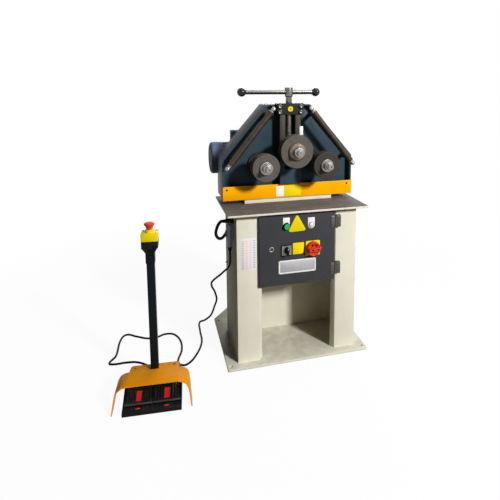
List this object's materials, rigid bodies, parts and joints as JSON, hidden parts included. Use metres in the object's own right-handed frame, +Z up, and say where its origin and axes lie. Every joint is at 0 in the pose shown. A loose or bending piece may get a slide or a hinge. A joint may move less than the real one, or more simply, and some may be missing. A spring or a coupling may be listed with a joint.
{
  "type": "ring roller",
  "caption": "Floor-standing motorised ring roller: grooved bending rolls on a gear-driven head, screw-fed upper roll, switch cabinet and a foot-pedal unit on a cable.",
  "frame": {"origin": "on the floor under the underside of the base plate, in the machine's centre plane, below the front edge of the roll head", "axes": "+Z up, -Y towards the operator, who stands in front of the rolls, +X to the operator's right"},
  "size_m": [1.2846, 0.8365, 1.3529],
  "materials": {
    "cream_paint": "satin",
    "worn_table": "worn",
    "charcoal_paint": "textured",
    "grey_sheet": "zinc plated",
    "zinc": "zinc plated",
    "chrome": "polished",
    "green_plastic": "gloss",
    "white_lens": "frosted",
    "black_plastic": "matte",
    "red_plastic": "gloss",
    "yellow_plastic": "satin",
    "blue_grey_paint": "satin",
    "petrol_paint": "satin",
    "guard_yellow": "gloss",
    "turned_steel": "oiled",
    "bright_steel": "turned",
    "oiled_steel": "oiled",
    "black_paint": "satin",
    "amber_paint": "gloss",
    "rubber": "smooth",
    "slate_plastic": "satin"
  },
  "bodies": {
    "stand": {"base_plate": "cream_paint", "left_column": "cream_paint", "right_column": "cream_paint", "back_panel": "cream_paint", "table_top": "worn_table", "head_plinth": "cream_paint", "cabinet_box": "grey_sheet", "component_plate": "grey_sheet", "door_hinge_lower": "zinc", "door_hinge_upper": "zinc", "head_shell": "blue_grey_paint", "front_plate": "petrol_paint", "rear_cover": "petrol_paint", "guard_strip": "guard_yellow", "guide_housing": "petrol_paint", "top_bracket": "petrol_paint", "left_guide_bar": "oiled_steel", "right_guide_bar": "oiled_steel", "gearbox": "petrol_paint", "motor": "petrol_paint", "fan_cover": "black_plastic", "pedal_base": "black_plastic", "pedal_hood": "amber_paint", "pole": "black_paint", "estop_base": "black_plastic", "estop_cover": "yellow_plastic", "cable_gland": "black_plastic", "cable_coupler": "slate_plastic", "short_lead": "rubber", "pedal_cable": "rubber", "left_bearing": "turned_steel", "right_bearing": "turned_steel"},
    "slide": {"slide_block": "bright_steel"},
    "screw": {"lead_screw": "bright_steel"},
    "t_bar": {"t_bar": "chrome"},
    "upper_roll_set": {"upper_shaft": "bright_steel", "upper_roll_rear": "turned_steel", "upper_roll_front": "turned_steel", "upper_end_spacer": "turned_steel", "upper_lock_nut": "bright_steel"},
    "left_roll_set": {"left_shaft": "bright_steel", "left_roll_rear": "turned_steel", "left_roll_front": "turned_steel", "left_lock_nut": "bright_steel", "left_gear": "turned_steel"},
    "right_roll_set": {"right_shaft": "bright_steel", "right_roll_rear": "turned_steel", "right_roll_front": "turned_steel", "right_lock_nut": "bright_steel", "right_gear": "turned_steel"},
    "drive_pinion": {"drive_pinion": "turned_steel"},
    "door": {"cabinet_door": "charcoal_paint", "pilot_lamp": "white_lens"},
    "lock": {"door_lock": "chrome"},
    "start_button": {"start_button": "green_plastic"},
    "selector": {"selector_knob": "black_plastic"},
    "main_switch": {"main_switch_knob": "red_plastic"},
    "left_pedal": {"left_pedal": "black_plastic"},
    "right_pedal": {"right_pedal": "black_plastic"},
    "estop_button": {"estop_button": "red_plastic"}
  },
  "joints": [
    {"name": "upper_slide", "type": "slide", "parent": "stand", "child": "slide", "axis": [0, 0, 1], "range_m": [-0.028, 0.06]},
    {"name": "screw_turn", "type": "hinge", "parent": "slide", "child": "screw", "pos_m": [0, 0.01, 1.3299], "axis": [0, 0, 1], "range_deg": [-2016, 4320]},
    {"name": "t_bar_slide", "type": "slide", "parent": "screw", "child": "t_bar", "axis": [1, 0, 0], "range_m": [-0.099, 0.198]},
    {"name": "upper_roll_spin", "type": "hinge", "parent": "slide", "child": "upper_roll_set", "pos_m": [0, 0, 1.044], "axis": [0, 1, 0], "continuous": true},
    {"name": "left_roll_spin", "type": "hinge", "parent": "stand", "child": "left_roll_set", "pos_m": [-0.154, 0, 0.97], "axis": [0, 1, 0], "continuous": true},
    {"name": "right_roll_spin", "type": "hinge", "parent": "stand", "child": "right_roll_set", "pos_m": [0.154, 0, 0.97], "axis": [0, 1, 0], "continuous": true},
    {"name": "pinion_spin", "type": "hinge", "parent": "stand", "child": "drive_pinion", "pos_m": [0, 0, 0.91021], "axis": [0, 1, 0], "continuous": true},
    {"name": "door_hinge", "type": "hinge", "parent": "stand", "child": "door", "pos_m": [0.1905, -0.178, 0.3935], "axis": [0, 0, 1], "range_deg": [0, 110]},
    {"name": "lock_turn", "type": "hinge", "parent": "door", "child": "lock", "pos_m": [-0.14, -0.175, 0.5795], "axis": [0, 1, 0], "range_deg": [0, 90]},
    {"name": "start_press", "type": "slide", "parent": "door", "child": "start_button", "axis": [0, 1, 0], "range_m": [0, 0.004], "stiffness_N_per_m": 600, "springref_m": -0.003},
    {"name": "selector_turn", "type": "hinge", "parent": "door", "child": "selector", "pos_m": [-0.065, -0.1813, 0.5695], "axis": [0, 1, 0], "range_deg": [-45, 45]},
    {"name": "main_switch_turn", "type": "hinge", "parent": "door", "child": "main_switch", "pos_m": [0.068, -0.1813, 0.5695], "axis": [0, 1, 0], "range_deg": [-90, 0]},
    {"name": "left_pedal_press", "type": "hinge", "parent": "stand", "child": "left_pedal", "pos_m": [-0.76914, -0.35154, 0.026], "axis": [-0.9969, 0.0785, 0], "range_deg": [0, 10], "stiffness_Nm_per_rad": 3, "springref_deg": -5.73},
    {"name": "right_pedal_press", "type": "hinge", "parent": "stand", "child": "right_pedal", "pos_m": [-0.6529, -0.36069, 0.026], "axis": [-0.9969, 0.0785, 0], "range_deg": [0, 10], "stiffness_Nm_per_rad": 3, "springref_deg": -5.73},
    {"name": "estop_press", "type": "slide", "parent": "stand", "child": "estop_button", "axis": [0, 0, -1], "range_m": [0, 0.005]}
  ],
  "couplings": [
    {"joint": "upper_slide", "follows": "screw_turn", "m_per_rad": 0.00079577},
    {"joint": "right_roll_spin", "follows": "left_roll_spin", "ratio": 1},
    {"joint": "pinion_spin", "follows": "left_roll_spin", "ratio": -1.75}
  ]
}
